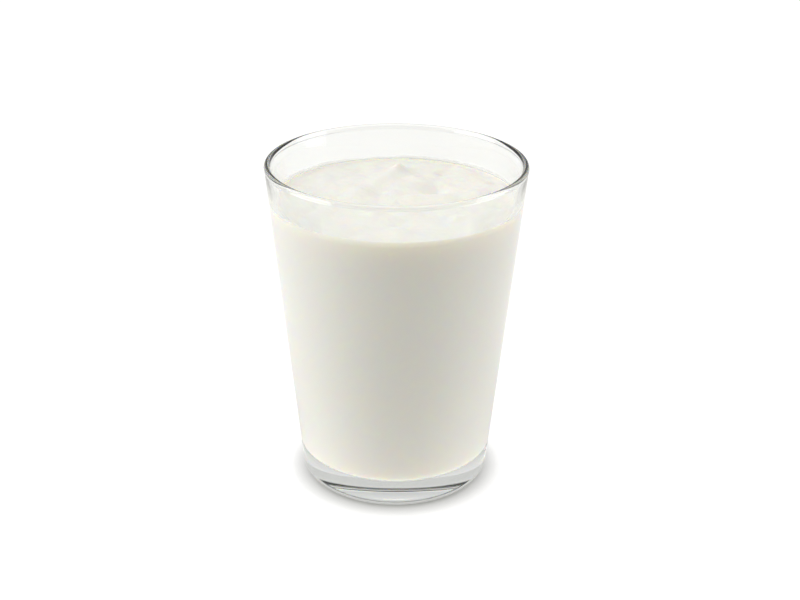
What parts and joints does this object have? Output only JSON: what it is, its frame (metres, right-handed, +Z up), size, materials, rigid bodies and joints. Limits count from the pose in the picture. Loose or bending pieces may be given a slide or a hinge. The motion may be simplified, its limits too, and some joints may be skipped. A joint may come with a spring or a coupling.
{
  "type": "glass of kefir",
  "caption": "Plain tapered clear glass tumbler with a thick base and a beaded rim, filled with white kefir to a little below the rim.",
  "frame": {"origin": "middle of the foot, on the surface the glass stands on", "axes": "+Z up along the axis of the glass, +Y towards the side where the pour left its crest"},
  "size_m": [0.079, 0.079, 0.1027],
  "materials": {
    "glass": "clear, polished",
    "kefir": "wet, soft gloss"
  },
  "bodies": {
    "root": {"glass": "glass", "kefir": "kefir"}
  },
  "joints": []
}
